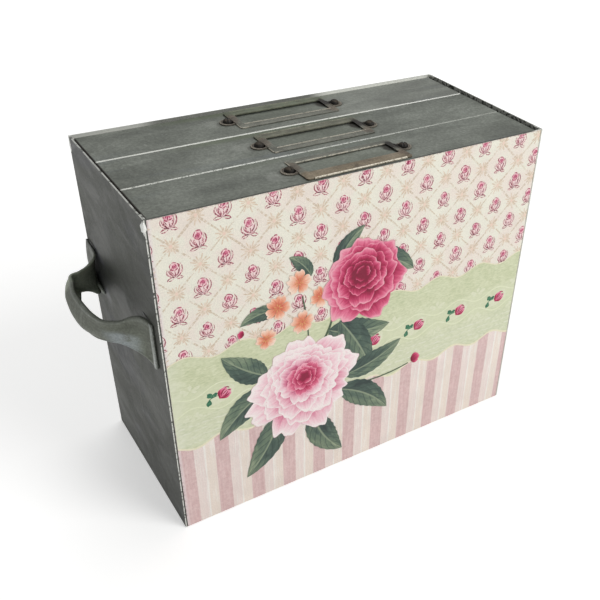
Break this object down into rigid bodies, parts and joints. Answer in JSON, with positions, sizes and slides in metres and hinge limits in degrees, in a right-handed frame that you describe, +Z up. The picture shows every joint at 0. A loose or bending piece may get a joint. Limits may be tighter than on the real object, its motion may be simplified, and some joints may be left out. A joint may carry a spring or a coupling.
{
  "type": "photo storage box",
  "caption": "Upright sheet-metal box with side handles and a patterned front, holding slim drawers that lift out by label-frame pulls on their top faces.",
  "frame": {"origin": "middle of the case in plan, on the ground", "axes": "+X to the right along the width, +Y from the papered front to the back, +Z up, the way the drawers lift"},
  "size_m": [0.3152, 0.12, 0.2191],
  "materials": {
    "zinc_case": "matte",
    "zinc_handle": "satin",
    "zinc_drawer": "matte",
    "rusty_frame": "satin",
    "rusty_screw": "matte",
    "solder": "satin",
    "printed_paper": "satin"
  },
  "bodies": {
    "case": {"left_wall": "zinc_case", "right_wall": "zinc_case", "front_wall": "zinc_case", "back_wall": "zinc_case", "case_bottom": "zinc_case", "front_paper": "printed_paper", "corner_solder": "solder", "left_handle": "zinc_handle", "right_handle": "zinc_handle", "left_handle_solder": "solder", "right_handle_solder": "solder"},
    "front_drawer": {"front_drawer_face": "zinc_drawer", "front_drawer_tray": "zinc_drawer", "front_label_holder": "rusty_frame", "front_holder_screws": "rusty_screw", "front_holder_nuts": "rusty_screw"},
    "middle_drawer": {"middle_drawer_face": "zinc_drawer", "middle_drawer_tray": "zinc_drawer", "middle_label_holder": "rusty_frame", "middle_holder_screws": "rusty_screw", "middle_holder_nuts": "rusty_screw"},
    "back_drawer": {"back_drawer_face": "zinc_drawer", "back_drawer_tray": "zinc_drawer", "back_label_holder": "rusty_frame", "back_holder_screws": "rusty_screw", "back_holder_nuts": "rusty_screw"}
  },
  "joints": [
    {"name": "front_drawer_slide", "type": "slide", "parent": "case", "child": "front_drawer", "axis": [0, 0, 1], "range_m": [0, 0.22]},
    {"name": "middle_drawer_slide", "type": "slide", "parent": "case", "child": "middle_drawer", "axis": [0, 0, 1], "range_m": [0, 0.22]},
    {"name": "back_drawer_slide", "type": "slide", "parent": "case", "child": "back_drawer", "axis": [0, 0, 1], "range_m": [0, 0.22]}
  ]
}
